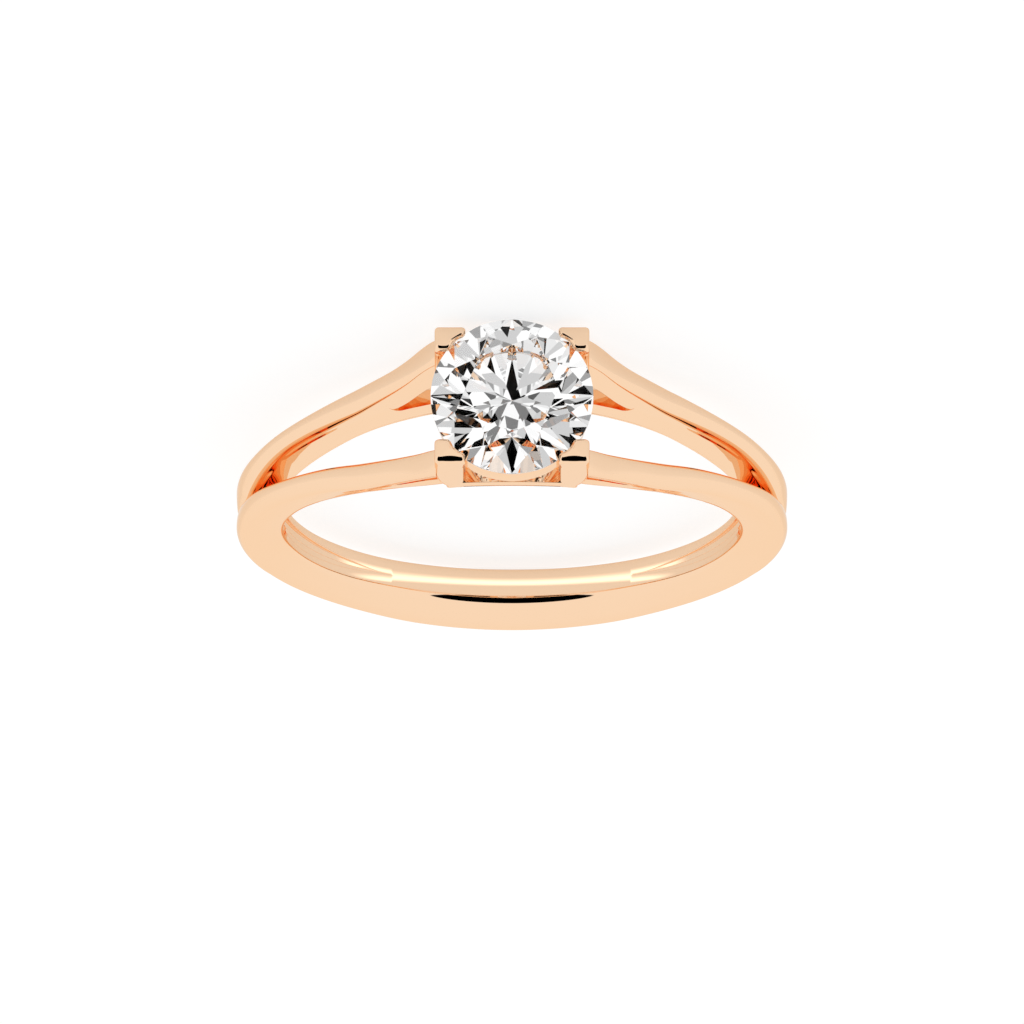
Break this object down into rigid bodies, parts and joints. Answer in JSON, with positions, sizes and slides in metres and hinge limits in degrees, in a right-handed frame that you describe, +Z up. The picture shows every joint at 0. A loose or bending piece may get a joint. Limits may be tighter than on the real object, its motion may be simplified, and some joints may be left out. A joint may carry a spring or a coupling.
{
  "type": "split shank ring",
  "caption": "Finger ring whose band parts at each side into two slim open arms that rise to square corner prongs holding a round brilliant cut stone.",
  "frame": {"origin": "on the surface the ring lies on, under the middle of its bounding box", "axes": "+Z up from the surface the ring lies on, nearly along the finger hole's axis; +Y from the head towards the base of the band; +X across the ring"},
  "size_m": [0.0198, 0.0234, 0.0058],
  "materials": {
    "rose_gold": "mirror polished",
    "diamond": "polished flat facets"
  },
  "bodies": {
    "root": {"ring_mount": "rose_gold", "round_stone": "diamond"}
  },
  "joints": []
}
